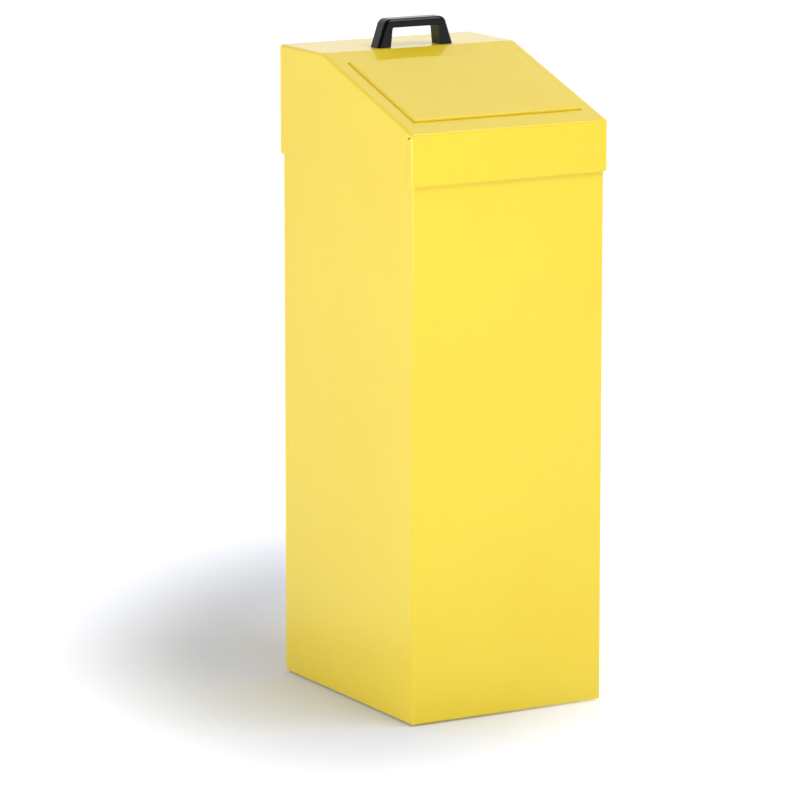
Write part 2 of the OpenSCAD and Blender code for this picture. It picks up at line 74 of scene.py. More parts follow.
class Build:
    # the node tree of one material, or of the studio's sky
    def __init__(self, tree):
        self.tree = tree
        self.tree.nodes.clear()

    def node(self, kind, settings=None, **values):
        # settings first, then the values or links of the sockets; returns the outputs by name
        made = self.tree.nodes.new(kind)
        for key, value in (settings or {}).items():
            if key == "stops":
                self.setStops(made.color_ramp, value)
            else:
                setattr(made, key, value)
        for key, value in values.items():
            self.put(made.inputs[key.replace("_", " ")], value)
        return {out.name: Val(self, out) for out in made.outputs if out.enabled}

    def put(self, socket, value):
        if isinstance(value, Val):
            self.tree.links.new(value.socket, socket)
        else:
            socket.default_value = value

    def setStops(self, ramp, stops):
        while len(ramp.elements) < len(stops):
            ramp.elements.new(0.5)
        for element, (place, colour) in zip(ramp.elements, stops):
            element.position = place
            element.color = colour

    def math(self, kind, *values):
        made = self.tree.nodes.new("ShaderNodeMath")
        made.operation = kind
        for socket, value in zip(made.inputs, values):
            self.put(socket, value)
        return Val(self, made.outputs[0])

    def mix(self, factor, a, b):
        made = self.tree.nodes.new("ShaderNodeMix")
        made.data_type = "RGBA"
        colours = [s for s in made.inputs if s.type == "RGBA"]
        self.put(made.inputs[0], factor)
        self.put(colours[0], a)
        self.put(colours[1], b)
        return Val(self, [s for s in made.outputs if s.type == "RGBA"][0])

    def noise(self, scale, detail=2.0, roughness=0.5, stretch=(1.0, 1.0, 1.0)):
        place = self.node("ShaderNodeMapping", None, Vector=self.place(), Scale=stretch)["Vector"]
        return self.node("ShaderNodeTexNoise", {"noise_dimensions": "3D"}, Vector=place,
                         Scale=scale, Detail=detail, Roughness=roughness)["Fac"]

    def place(self):
        return self.node("ShaderNodeTexCoord")["Object"]

    def height(self):
        return self.node("ShaderNodeSeparateXYZ", None, Vector=self.place())["Z"]

    def band(self, value, low, high):
        # 0 at low, 1 at high, smooth between
        return self.node("ShaderNodeMapRange", {"interpolation_type": "SMOOTHSTEP"}, Value=value,
                         From_Min=low, From_Max=high, To_Min=0.0, To_Max=1.0)["Result"]

    def bump(self, height, distance, strength=1.0):
        return self.node("ShaderNodeBump", None, Height=height, Distance=distance, Strength=strength)["Normal"]


def rgb(r, g, b):
    return (r, g, b, 1.0)


def newMaterial(name, make):
    # the maker gives the values of the main shader's sockets
    mat = bpy.data.materials.new(name)
    mat.use_nodes = True
    build = Build(mat.node_tree)
    shader = build.node("ShaderNodeBsdfPrincipled", None, **make(build))
    build.node("ShaderNodeOutputMaterial", None, Surface=shader["BSDF"])
    return mat


def yellowCoat(b):
    # glossy powder coat: faint cloudiness, orange peel, fine dust low down and a few rubbed streaks
    look = {"body": rgb(0.95, 0.722, 0.036), "deep": rgb(0.94, 0.700, 0.031), "dust": rgb(0.88, 0.69, 0.075),
            "dustTop": 0.16, "dustShare": 0.22, "speckShare": 0.10, "rough": 0.11, "roughSpread": 0.07,
            "streakRough": 0.05, "dustRough": 0.12, "peel": 0.000014, "peelScale": 330.0, "wave": 0.00035}
    cloud = b.band(b.noise(4.0, 3.0), 0.35, 0.65)
    speck = b.band(b.noise(260.0, 2.0), 0.70, 0.80)
    dusty = (1.0 - b.band(b.height(), 0.0, look["dustTop"])) * b.band(b.noise(14.0, 4.0), 0.42, 0.72)
    colour = b.mix(cloud, look["body"], look["deep"])
    colour = b.mix(speck * look["speckShare"] + dusty * look["dustShare"], colour, look["dust"])
    streak = b.band(b.noise(30.0, 5.0, 0.6, (1.0, 1.0, 0.12)), 0.56, 0.74)
    rough = look["rough"] + b.noise(9.0, 3.0) * look["roughSpread"] + streak * look["streakRough"]
    height = b.noise(look["peelScale"], 1.0) * look["peel"] + b.noise(3.2, 0.0) * look["wave"]
    return {"Base_Color": colour, "Roughness": rough + dusty * look["dustRough"], "IOR": 1.5,
            "Normal": b.bump(height, 1.0)}


def blackPlastic(b):
    # moulded plastic with a glossy skin, fine grain and faint flow marks
    look = {"body": rgb(0.0035, 0.0036, 0.0040), "worn": rgb(0.009, 0.009, 0.0095), "rough": 0.08,
            "flowRough": 0.10, "rubRough": 0.08, "grain": 0.000004, "gloss": 1.33}
    flow = b.noise(22.0, 3.0, 0.5, (0.4, 1.0, 1.0))
    rub = b.band(b.noise(85.0, 4.0), 0.55, 0.75)
    rough = look["rough"] + flow * look["flowRough"] + rub * look["rubRough"]
    return {"Base_Color": b.mix(rub * 0.5, look["body"], look["worn"]), "Roughness": rough, "IOR": look["gloss"],
            "Normal": b.bump(b.noise(1300.0, 1.0), look["grain"])}


def footPlastic(b):
    look = {"body": rgb(0.022, 0.022, 0.022), "scuffed": rgb(0.060, 0.058, 0.054), "rough": 0.5,
            "scuffRough": 0.25, "grain": 0.00002}
    scuff = b.band(b.noise(140.0, 3.0), 0.5, 0.7)
    return {"Base_Color": b.mix(scuff, look["body"], look["scuffed"]),
            "Roughness": look["rough"] + scuff * look["scuffRough"], "Normal": b.bump(b.noise(1500.0), look["grain"])}


def galvanised(b):
    # zinc crystals of uneven brightness, with drawn scratches along the height and white bloom
    look = {"dark": rgb(0.46, 0.48, 0.50), "light": rgb(0.66, 0.68, 0.70), "scratch": rgb(0.76, 0.77, 0.78),
            "bloom": rgb(0.72, 0.72, 0.71), "crystals": 85.0, "metal": 0.62, "bloomDulls": 0.3, "rough": 0.30,
            "crystalRough": 0.16, "scratchRough": 0.1, "bloomRough": 0.15, "relief": 0.00001}
    spangle = b.node("ShaderNodeTexVoronoi", {"feature": "F1"}, Vector=b.place(), Scale=look["crystals"],
                     Randomness=1.0)
    tone = b.node("ShaderNodeSeparateColor", None, Color=spangle["Color"])["Red"]
    scratch = b.band(b.noise(60.0, 4.0, 0.6, (1.0, 1.0, 0.03)), 0.60, 0.72)
    colour = b.mix(tone, look["dark"], look["light"])
    colour = b.mix(scratch * 0.35, colour, look["scratch"])
    white = b.band(b.noise(16.0, 4.0), 0.62, 0.78)
    rough = look["rough"] + tone * look["crystalRough"] + scratch * look["scratchRough"]
    return {"Base_Color": b.mix(white * 0.3, colour, look["bloom"]),
            "Metallic": look["metal"] - white * look["bloomDulls"],
            "Roughness": rough + white * look["bloomRough"], "Normal": b.bump(tone, look["relief"])}


def zincPlated(b):
    look = {"cool": rgb(0.56, 0.58, 0.62), "warm": rgb(0.72, 0.72, 0.70), "rough": 0.22, "grainRough": 0.22,
            "grain": 0.000006}
    grain = b.noise(420.0, 3.0)
    tint = b.mix(b.noise(45.0, 3.0), look["cool"], look["warm"])
    return {"Base_Color": tint, "Metallic": 1.0, "Roughness": look["rough"] + grain * look["grainRough"],
            "Normal": b.bump(b.noise(1400.0), look["grain"])}


def springWire(b):
    # oil-tempered wire with die marks
    look = {"dark": rgb(0.20, 0.205, 0.215), "light": rgb(0.42, 0.43, 0.45), "rough": 0.28, "markRough": 0.2,
            "relief": 0.00001}
    mark = b.band(b.noise(300.0, 3.0), 0.45, 0.75)
    return {"Base_Color": b.mix(mark, look["dark"], look["light"]), "Metallic": 1.0,
            "Roughness": look["rough"] + mark * look["markRough"], "Normal": b.bump(mark, look["relief"])}


def brass(b):
    look = {"dark": rgb(0.66, 0.44, 0.16), "light": rgb(0.80, 0.60, 0.28), "rough": 0.26, "stainRough": 0.15}
    stain = b.noise(200.0, 3.0)
    return {"Base_Color": b.mix(stain, look["dark"], look["light"]), "Metallic": 1.0,
            "Roughness": look["rough"] + stain * look["stainRough"]}


def bushNylon(b):
    look = {"dark": rgb(0.74, 0.72, 0.66), "light": rgb(0.86, 0.84, 0.79), "rough": 0.36, "milkRough": 0.15,
            "grain": 0.00001}
    milk = b.noise(120.0, 2.0)
    return {"Base_Color": b.mix(milk, look["dark"], look["light"]),
            "Roughness": look["rough"] + milk * look["milkRough"], "Normal": b.bump(b.noise(900.0), look["grain"])}


def bufferRubber(b):
    look = {"body": rgb(0.016, 0.016, 0.016), "bloom": rgb(0.050, 0.050, 0.048), "rough": 0.62, "bloomRough": 0.25,
            "grain": 0.00002}
    bloom = b.band(b.noise(180.0, 3.0), 0.5, 0.75)
    return {"Base_Color": b.mix(bloom, look["body"], look["bloom"]),
            "Roughness": look["rough"] + bloom * look["bloomRough"], "Normal": b.bump(b.noise(2000.0), look["grain"])}


def floorGlowAndPaintedShadow(b):
    # a faint glow of its own, stronger away from the bin, keeps the floor as pale as the surroundings: the glow is
    # painted light, and where it stays dim, in a tilted patch round the bin's foot, it is a painted shadow of the bin
    look = {"cool": rgb(0.80, 0.83, 0.93), "pale": rgb(0.82, 0.85, 0.95), "rough": 0.85, "glow": 0.05,
            "shadeAt": (0.02, 0.28, 0.0), "shadeTurn": -0.5175, "shadeShape": (1.0, 2.0, 1.0), "nearGlow": 0.38,
            "nearFrom": 0.22, "nearTo": 0.53, "farGlow": 0.20, "farFrom": 0.8, "farTo": 3.2, "strength": 1.15}
    tone = b.noise(2.0, 3.0)
    # the shade patch: an ellipse, turned and shifted off the bin's centre, where the floor's painted shadow of the
    # bin lies
    shade = b.node("ShaderNodeMapping", {"vector_type": "TEXTURE"}, Vector=b.place(), Location=look["shadeAt"],
                   Rotation=(0.0, 0.0, look["shadeTurn"]), Scale=look["shadeShape"])["Vector"]
    inShade = b.node("ShaderNodeVectorMath", {"operation": "LENGTH"}, Vector=shade)["Value"]
    reach = b.node("ShaderNodeVectorMath", {"operation": "LENGTH"}, Vector=b.place())["Value"]
    # little glow inside the patch paints the bin's shadow; the stronger glow outside it and far off is painted light
    glow = b.band(inShade, look["nearFrom"], look["nearTo"]) * look["nearGlow"] + look["glow"]
    glow = glow + b.band(reach, look["farFrom"], look["farTo"]) * look["farGlow"]
    return {"Base_Color": b.mix(tone, look["cool"], look["pale"]), "Roughness": look["rough"] + tone * 0.1,
            "Specular_IOR_Level": 0.1, "Emission_Color": b.mix(glow, rgb(0.0, 0.0, 0.0), rgb(1.0, 1.0, 1.0)),
            "Emission_Strength": look["strength"]}


makers = {"yellow_coat": yellowCoat, "black_plastic": blackPlastic, "foot_plastic": footPlastic,
          "galvanised": galvanised, "zinc_plated": zincPlated, "spring_wire": springWire, "brass": brass,
          "bush_nylon": bushNylon, "buffer_rubber": bufferRubber}
looks = {slot: newMaterial(make.__name__, make) for slot, make in makers.items()}
slotOf = {part["node"]: part["material_slot"] for part in frame["record"]["subparts"]}
for name, piece in nodes.items():
    piece.data.materials.clear()
    piece.data.materials.append(looks[slotOf[name]])
print("materials made:", len(looks))


def slab(low, high):
    # closed box between two corners
    bm = bmesh.new()
    bmesh.ops.create_cube(bm, size=1.0)
    bmesh.ops.scale(bm, vec=Vector(high) - Vector(low), verts=bm.verts)
    bmesh.ops.translate(bm, vec=(Vector(high) + Vector(low)) / 2, verts=bm.verts)
    return bm


def facing(bm, way):
    # the faces that look that way
    bm.normal_update()
    return [f for f in bm.faces if f.normal.dot(Vector(way)) > 0.99]


def near(faces, low=None, high=None):
    # those whose middle lies between two corners; None leaves a side open
    kept = []
    for face in faces:
        mid = face.calc_center_median()
        over = [mid[i] < low[i] for i in range(3) if low and low[i] is not None]
        over += [mid[i] > high[i] for i in range(3) if high and high[i] is not None]
        if not any(over):
            kept.append(face)
    return kept


def cut(bm, faces, point, normal):
    # splits those faces where a plane crosses them
    geom = set(faces)
    for face in faces:
        geom.update(face.edges)
        geom.update(face.verts)
    bmesh.ops.bisect_plane(bm, geom=list(geom), plane_co=point, plane_no=normal, dist=split)


def drop(bm, faces):
    bmesh.ops.delete(bm, geom=faces, context="FACES")


def dropInner(bm):
    # an extrusion leaves its first face behind, inside the wall
    inner = [face for face in bm.faces if all(len(edge.link_faces) > 2 for edge in face.edges)]
    bmesh.ops.delete(bm, geom=inner, context="FACES_ONLY")


def weigh(bm, pick):
    # tells the bend modifier how round each fold is
    layer = bm.edges.layers.float.get("bevel_weight_edge") or bm.edges.layers.float.new("bevel_weight_edge")
    for edge in bm.edges:
        if len(edge.link_faces) == 2 and edge.calc_face_angle() > 0.1:
            edge[layer] = pick((edge.verts[0].co + edge.verts[1].co) / 2,
                               (edge.verts[1].co - edge.verts[0].co).normalized())


def roundHole(bm, way, centre, radius, half):
    # a round hole in the flat wall that looks along X, inside a square cell
    for axis in (1, 2):
        for side in (-half, half):
            point = centre.copy()
            point[axis] += side
            normal = [0, 0, 0]
            normal[axis] = 1
            faces = facing(bm, way)
            if axis == 2:  # between the first two cuts only
                faces = near(faces, (None, centre.y - 2 * half, centre.z - 2 * half),
                             (None, centre.y + 2 * half, centre.z + 2 * half))
            cut(bm, faces, point, normal)
    cell = near(facing(bm, way), (None, centre.y - half, centre.z - half), (None, centre.y + half, centre.z + half))
    edges = list({edge for face in cell for edge in face.edges})
    bmesh.ops.delete(bm, geom=cell, context="FACES_ONLY")
    place = Matrix.Translation(centre) @ Matrix.Rotation(math.pi / 2, 4, "Y")
    ring = bmesh.ops.create_circle(bm, segments=32, radius=radius, matrix=place)["verts"]
    rim = list({edge for vert in ring for edge in vert.link_edges})
    made = bmesh.ops.bridge_loops(bm, edges=edges + rim)["faces"]
    bm.normal_update()
    turned = [face for face in made if face.normal.dot(Vector(way)) < 0]
    if turned:
        bmesh.ops.reverse_faces(bm, faces=turned)


def addPiece(name, bm, body, slotName, *replaced):
    for face in bm.faces:
        face.smooth = True
    mesh = bpy.data.meshes.new(name)
    bm.to_mesh(mesh)
    bm.free()
    piece = bpy.data.objects.new(name, mesh)
    bpy.context.scene.collection.objects.link(piece)
    mesh.materials.append(looks[slotName])
    if replaced:
        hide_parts(*replaced)
    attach(piece, body)
    return piece


def bendSheet(piece, bend, segments, thick):
    # folds the weighted edges, gives the sheet its thickness and softens its cut edges
    folds = piece.modifiers.new("folds", "BEVEL")
    folds.limit_method = "WEIGHT"
    folds.width = bend
    folds.segments = segments
    wall = piece.modifiers.new("wall", "SOLIDIFY")
    wall.thickness = thick
    wall.offset = -1.0
    wall.use_even_offset = True
    rims = piece.modifiers.new("rims", "BEVEL")
    rims.limit_method = "ANGLE"
    rims.angle_limit = math.radians(50)
    rims.width = 0.16 * mm
    rims.segments = 2
    piece.modifiers.new("shading", "WEIGHTED_NORMAL")


class Wire:
    # a round wire drawn through straight runs and bends
    def __init__(self, bm, radius, place, heading, sides=16):
        self.bm = bm
        self.place = Vector(place)
        self.heading = Vector(heading).normalized()
        turn = self.heading.to_track_quat("Z", "Y").to_matrix().to_4x4()
        ring = bmesh.ops.create_circle(bm, cap_ends=True, radius=radius, segments=sides,
                                       matrix=Matrix.Translation(self.place) @ turn)["verts"]
        self.face = ring[0].link_faces[0]

    def run(self, length):
        made = bmesh.ops.extrude_face_region(self.bm, geom=[self.face])["geom"]
        self.face = [g for g in made if isinstance(g, bmesh.types.BMFace)][0]
        bmesh.ops.translate(self.bm, vec=self.heading * length, verts=self.face.verts)
        self.place = self.place + self.heading * length

    def bend(self, axis, angle, radius, steps, drift=0.0):
        # turns about the axis, which stands to one side of the wire, and drifts along it
        axis = Vector(axis).normalized()
        centre = self.place + axis.cross(self.heading) * math.copysign(radius, angle)
        geom = [self.face] + list(self.face.edges) + list(self.face.verts)
        made = bmesh.ops.spin(self.bm, geom=geom, cent=centre, axis=axis, dvec=axis * drift / steps,
                              angle=angle, steps=steps, use_duplicate=False)["geom_last"]
        self.face = [g for g in made if isinstance(g, bmesh.types.BMFace)][0]
        turn = Matrix.Rotation(angle, 3, axis)
        self.place = centre + turn @ (self.place - centre) + axis * drift
        self.heading = turn @ self.heading


# the slope carries the flap and its hinge
slopeSpec = {"angle": 18.4, "frontHeight": 75.0, "flapFront": 37.6, "flapBehind": 240.66, "proud": 3.6,
             "hingeAlong": 230.66, "hingeBelow": -8.4, "springLean": 8.0}
hoodLow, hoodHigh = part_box("hood_shell")
slopeTurn = math.radians(slopeSpec["angle"])
foldZ = hoodLow.z + slopeSpec["frontHeight"] * mm
slopePlace = Matrix.Translation((0, hoodLow.y, foldZ)) @ Matrix.Rotation(slopeTurn, 4, "X")
hingePlace = slopePlace @ Matrix.Translation((0, slopeSpec["hingeAlong"] * mm, slopeSpec["hingeBelow"] * mm))
slopeUp = slopePlace.to_3x3() @ Vector((0, 0, 1))


def makeHood():
    # one folded sheet; the front's returns lap the sides, with a seam and a relief slot on each
    spec = {"bend": 4.5, "corner": 4.0, "frontFold": 2.9, "topFold": 1.3, "gap": 0.6, "thick": 1.0,
            "seamBack": 14.0, "seamWide": 1.2, "seamDeep": 0.55, "seamTop": 14.0, "seamFoot": 3.0,
            "slotFrom": 4.8, "slotTo": 11.4, "slotDrop": 6.4, "slotTurn": -19.0, "slotWide": 1.9}
    bm = slab(hoodLow, hoodHigh)
    fold = Vector((0, hoodLow.y, foldZ))
    bmesh.ops.bisect_plane(bm, geom=bm.verts[:] + bm.edges[:] + bm.faces[:], plane_co=fold, plane_no=slopeUp,
                           clear_outer=True, dist=split)
    bmesh.ops.holes_fill(bm, edges=[edge for edge in bm.edges if edge.is_boundary])
    bmesh.ops.recalc_face_normals(bm, faces=bm.faces)
    drop(bm, facing(bm, (0, 0, -1)))

    # opening for the flap
    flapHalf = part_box("flap_pan")[1].x + spec["gap"] * mm
    along = slopePlace.to_3x3() @ Vector((0, 1, 0))
    first = slopePlace @ Vector((0, (slopeSpec["flapFront"] - spec["gap"]) * mm, 0))
    last = slopePlace @ Vector((0, (slopeSpec["flapBehind"] + spec["gap"]) * mm, 0))
    cut(bm, facing(bm, slopeUp), first, along)
    cut(bm, facing(bm, slopeUp), last, along)
    between = ((None, first.y, None), (None, last.y, None))
    for side in (-flapHalf, flapHalf):
        cut(bm, near(facing(bm, slopeUp), *between), (side, 0, 0), (1, 0, 0))
    drop(bm, near(facing(bm, slopeUp), (-flapHalf, first.y, None), (flapHalf, last.y, None)))

    seamTop = foldZ - spec["seamTop"] * mm
    seamFoot = hoodLow.z + spec["seamFoot"] * mm
    seamY = [hoodLow.y + (spec["seamBack"] + k * spec["seamWide"]) * mm for k in (0, 1)]
    slotY = [hoodLow.y + spec[key] * mm for key in ("slotFrom", "slotTo")]
    seams = []
    for side in (-1, 1):
        way = (side, 0, 0)
        cut(bm, facing(bm, way), (0, 0, seamTop), (0, 0, 1))
        low = (None, None, seamTop)
        for y in seamY:
            cut(bm, near(facing(bm, way), None, low), (0, y, 0), (0, 1, 0))
        strip = ((None, seamY[0], None), (None, seamY[1], seamTop))
        cut(bm, near(facing(bm, way), *strip), (0, 0, seamFoot), (0, 0, 1))
        seams.append((way, (None, seamY[0], seamFoot), strip[1]))
        for y in slotY:
            cut(bm, near(facing(bm, way), low, (None, slotY[1] + 1, None)), (0, y, 0), (0, 1, 0))
        tilt = Matrix.Rotation(math.radians(spec["slotTurn"]), 3, "X") @ Vector((0, 0, 1))
        for step in (-0.5, 0.5):
            point = Vector((0, (slotY[0] + slotY[1]) / 2, foldZ - (spec["slotDrop"] - step * spec["slotWide"]) * mm))
            cut(bm, near(facing(bm, way), (None, slotY[0], seamTop), (None, slotY[1], None)), point, tilt)
        hole = foldZ - spec["slotDrop"] * mm
        drop(bm, near(facing(bm, way), (None, slotY[0], hole - 0.4 * mm), (None, slotY[1], hole + 0.4 * mm)))

    def pick(mid, way):
        if abs(way.z) > 0.99:
            return spec["corner"] / spec["bend"]
        if abs(way.x) > 0.99:
            if abs(mid.z - foldZ) < hair:
                return spec["frontFold"] / spec["bend"]
            return (spec["topFold"] if mid.y < hoodHigh.y - hair else spec["corner"]) / spec["bend"]
        return 1.0
    weigh(bm, pick)
    for way, low, high in seams:
        made = bmesh.ops.extrude_face_region(bm, geom=near(facing(bm, way), low, high))["geom"]
        floor = [g for g in made if isinstance(g, bmesh.types.BMVert)]
        bmesh.ops.translate(bm, vec=Vector(way) * -spec["seamDeep"] * mm, verts=floor)
        layer = bm.edges.layers.float["bevel_weight_edge"]
        for edge in {edge for vert in floor for edge in vert.link_edges}:
            edge[layer] = 0.0
        dropInner(bm)
    piece = addPiece("hoodShell", bm, "hood", "yellow_coat", "hood_shell")
    bendSheet(piece, spec["bend"] * mm, 6, spec["thick"] * mm)


def makeFlap():
    # pan with turned-down flanges, a stop lip at the front and relief cuts at the rear corners
    spec = {"deep": 20.0, "frontDeep": 14.0, "lipHalf": 125.0, "lipWide": 12.0, "relief": 3.2, "bend": 2.9,
            "thick": 1.0, "bore": 4.5, "boreCell": 6.0}
    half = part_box("flap_pan")[1].x
    front, back = slopeSpec["flapFront"] * mm, slopeSpec["flapBehind"] * mm
    top = slopeSpec["proud"] * mm
    bm = slab((-half, front, top - spec["deep"] * mm), (half, back, top))
    drop(bm, facing(bm, (0, 0, -1)))
    lipZ = top - (spec["frontDeep"] - spec["thick"]) * mm
    cut(bm, facing(bm, (0, -1, 0)), (0, 0, lipZ), (0, 0, 1))
    drop(bm, near(facing(bm, (0, -1, 0)), None, (None, None, lipZ)))
    inX, inY = half - spec["relief"] * mm, back - spec["relief"] * mm
    for way in ((0, 0, 1), (0, 1, 0)):
        for side in (-inX, inX):
            cut(bm, facing(bm, way), (side, 0, 0), (1, 0, 0))
    for way in ((0, 0, 1), (1, 0, 0), (-1, 0, 0)):
        cut(bm, facing(bm, way), (0, inY, 0), (0, 1, 0))
    for side in (-1, 1):
        corner = [(-half, inY, None), (-inX, None, None)] if side < 0 else [(inX, inY, None), (half, None, None)]
        drop(bm, near(bm.faces, *corner))
        drop(bm, near(facing(bm, (side, 0, 0)), (None, inY, None)))
    for side in (-1, 1):
        cut(bm, facing(bm, (0, -1, 0)), (side * spec["lipHalf"] * mm, 0, 0), (1, 0, 0))
    edges = [e for e in bm.edges if e.is_boundary and all(abs(v.co.z - lipZ) < hair for v in e.verts)
             and all(abs(v.co.x) < spec["lipHalf"] * mm + hair and v.co.y < front + hair for v in e.verts)]
    made = bmesh.ops.extrude_edge_only(bm, edges=edges)["geom"]
    lip = [g for g in made if isinstance(g, bmesh.types.BMVert)]
    bmesh.ops.translate(bm, vec=(0, -spec["lipWide"] * mm, 0), verts=lip)
    for side in (-1, 1):
        centre = Vector((side * half, slopeSpec["hingeAlong"] * mm, slopeSpec["hingeBelow"] * mm))
        roundHole(bm, (side, 0, 0), centre, spec["bore"] * mm, spec["boreCell"] * mm)
    weigh(bm, lambda mid, way: 1.0 if mid.z > top - hair or abs(way.z) > 0.9 else 0.7)
    bmesh.ops.transform(bm, matrix=slopePlace, verts=bm.verts)
    piece = addPiece("flapPan", bm, "flap", "yellow_coat", "flap_pan")
    bendSheet(piece, spec["bend"] * mm, 4, spec["thick"] * mm)


def makeHandle():
    # moulded bridge handle: leaning legs, a gap with nearly upright sides, and broad outer chamfers
    spec = {"topHalf": 50.0, "grip": 13.0, "leg": 22.0, "gapTop": 39.0, "outer": 8.5, "inner": 2.2,
            "chamfer": 3.6, "edge": 1.0}
    low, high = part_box("handle")
    gapZ = high.z - spec["grip"] * mm
    legX = high.x - spec["leg"] * mm
    half = [(high.x, low.z), (spec["topHalf"] * mm, high.z)]
    gap = [(spec["gapTop"] * mm, gapZ), (legX, low.z)]
    outline = [(-x, z) for x, z in half] + half[::-1] + gap[::-1] + [(-x, z) for x, z in gap]
    bm = bmesh.new()
    face = bm.faces.new([bm.verts.new((x, low.y, z)) for x, z in outline])
    made = bmesh.ops.extrude_face_region(bm, geom=[face])["geom"]
    behind = [g for g in made if isinstance(g, bmesh.types.BMVert)]
    bmesh.ops.translate(bm, vec=(0, high.y - low.y, 0), verts=behind)
    bmesh.ops.recalc_face_normals(bm, faces=bm.faces)
    for z, size in ((high.z, spec["outer"]), (gapZ, spec["inner"])):
        across = [e for e in bm.edges if abs(e.verts[0].co.y - e.verts[1].co.y) > 1 * mm
                  and all(abs(v.co.z - z) < hair for v in e.verts)]
        bmesh.ops.bevel(bm, geom=across, offset=size * mm, segments=10, profile=0.5, affect="EDGES", material=-1)

    # the outer edges of the front and the back; the lower ends and the gap stay sharp
    lean = (high.x - spec["topHalf"] * mm) / (high.z - low.z)

    def outside(co):
        return co.z > gapZ + 10 * hair or abs(co.x) > high.x - lean * (co.z - low.z) - 1 * mm
    chamfered = [e for e in bm.edges if abs(e.verts[0].co.y - e.verts[1].co.y) < hair
                 and any(v.co.z > low.z + hair for v in e.verts) and all(outside(v.co) for v in e.verts)]
    bmesh.ops.bevel(bm, geom=chamfered, offset=spec["chamfer"] * mm, segments=1, profile=0.5, affect="EDGES",
                    material=-1)
    piece = addPiece("handleGrip", bm, "hood", "black_plastic", "handle")
    soft = piece.modifiers.new("softEdges", "BEVEL")
    soft.limit_method = "ANGLE"
    soft.angle_limit = math.radians(25)
    soft.width = spec["edge"] * mm
    soft.segments = 4
    piece.modifiers.new("shading", "WEIGHTED_NORMAL")


def makeBody():
    # wrapped sheet: front, two sides and two returns, with the rim and the lower flange folded in
    spec = {"rim": 11.0, "flange": 15.0, "returns": 18.0, "bend": 2.5, "fold": 1.3, "thick": 1.0}
    low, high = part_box("body_wrap")
    bm = slab(low, high)
    for way, wide in (((0, 0, 1), spec["rim"] * mm), ((0, 0, -1), spec["flange"] * mm)):
        for side in (-1, 1):
            cut(bm, facing(bm, way), (side * (high.x - wide), 0, 0), (1, 0, 0))
        cut(bm, near(facing(bm, way), (wide - high.x, None, None), (high.x - wide, None, None)),
            (0, low.y + wide, 0), (0, 1, 0))
        drop(bm, near(facing(bm, way), (wide - high.x, low.y + wide, None), (high.x - wide, None, None)))
    inX = high.x - spec["returns"] * mm
    for side in (-inX, inX):
        cut(bm, facing(bm, (0, 1, 0)), (side, 0, 0), (1, 0, 0))
    drop(bm, near(facing(bm, (0, 1, 0)), (-inX, None, None), (inX, None, None)))
    weigh(bm, lambda mid, way: 1.0 if abs(way.z) > 0.99 else spec["fold"] / spec["bend"])
    piece = addPiece("bodyWrap", bm, "bin_body", "yellow_coat", "body_wrap")
    bendSheet(piece, spec["bend"] * mm, 6, spec["thick"] * mm)


def makeBackPanel():
    spec = {"rimHalf": 149.0, "flangeHalf": 145.0, "rim": 9.0, "flange": 13.0, "fold": 1.3, "thick": 1.0,
            "shoulder": 1.2}
    low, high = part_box("back_panel")
    bm = slab(low, high)
    drop(bm, facing(bm, (0, -1, 0)) + facing(bm, (1, 0, 0)) + facing(bm, (-1, 0, 0)))
    for way, half, wide in (((0, 0, 1), spec["rimHalf"] * mm, spec["rim"] * mm),
                            ((0, 0, -1), spec["flangeHalf"] * mm, spec["flange"] * mm)):
        for side in (-1, 1):
            cut(bm, facing(bm, way) + facing(bm, (0, 1, 0)), (side * half, 0, 0), (1, 0, 0))
        drop(bm, near(facing(bm, way), (half, None, None)) + near(facing(bm, way), None, (-half, None, None)))
        cut(bm, facing(bm, way), (0, high.y - wide, 0), (0, 1, 0))
        drop(bm, near(facing(bm, way), None, (None, high.y - wide, None)))
    for half, level, step in ((spec["rimHalf"], high.z, -1), (spec["flangeHalf"], low.z, 1)):
        ends = [v for v in bm.verts if abs(v.co.x) > half * mm + hair and abs(v.co.z - level) < hair]
        bmesh.ops.translate(bm, vec=(0, 0, step * spec["shoulder"] * mm), verts=ends)
    weigh(bm, lambda mid, way: 1.0)
    piece = addPiece("backPanel", bm, "bin_body", "yellow_coat", "back_panel")
    bendSheet(piece, spec["fold"] * mm, 4, spec["thick"] * mm)


def makeWelds():
    # the marks of the spot welds that hold the returns to the back panel
    spec = {"inset": 9.0, "first": 60.0, "count": 7, "radius": 3.0, "proud": 0.16, "slant": 0.6}
    low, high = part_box("body_wrap")
    bm = bmesh.new()
    step = (high.z - low.z - 2 * spec["first"] * mm) / (spec["count"] - 1)
    turn = Matrix.Rotation(-math.pi / 2, 4, "X")
    for side in (-1, 1):
        for k in range(spec["count"]):
            place = Vector((side * (high.x - spec["inset"] * mm), high.y, low.z + spec["first"] * mm + k * step))
            made = bmesh.ops.create_cone(bm, cap_ends=True, segments=24, radius1=spec["radius"] * mm,
                                         radius2=(spec["radius"] - spec["slant"]) * mm, depth=2 * spec["proud"] * mm,
                                         matrix=Matrix.Translation(place) @ turn)["verts"]
            outer = near(list({face for vert in made for face in vert.link_faces}), (None, place.y + hair, None))
            face = [face for face in outer if len(face.verts) == 24][0]
            for width, rise in ((spec["slant"], 0.0), (spec["slant"], -0.7)):
                bmesh.ops.inset_region(bm, faces=[face], thickness=width * mm, use_even_offset=True)
                bmesh.ops.translate(bm, vec=(0, rise * spec["proud"] * mm, 0), verts=face.verts)
    bmesh.ops.recalc_face_normals(bm, faces=bm.faces)
    addPiece("spotWelds", bm, "bin_body", "yellow_coat")


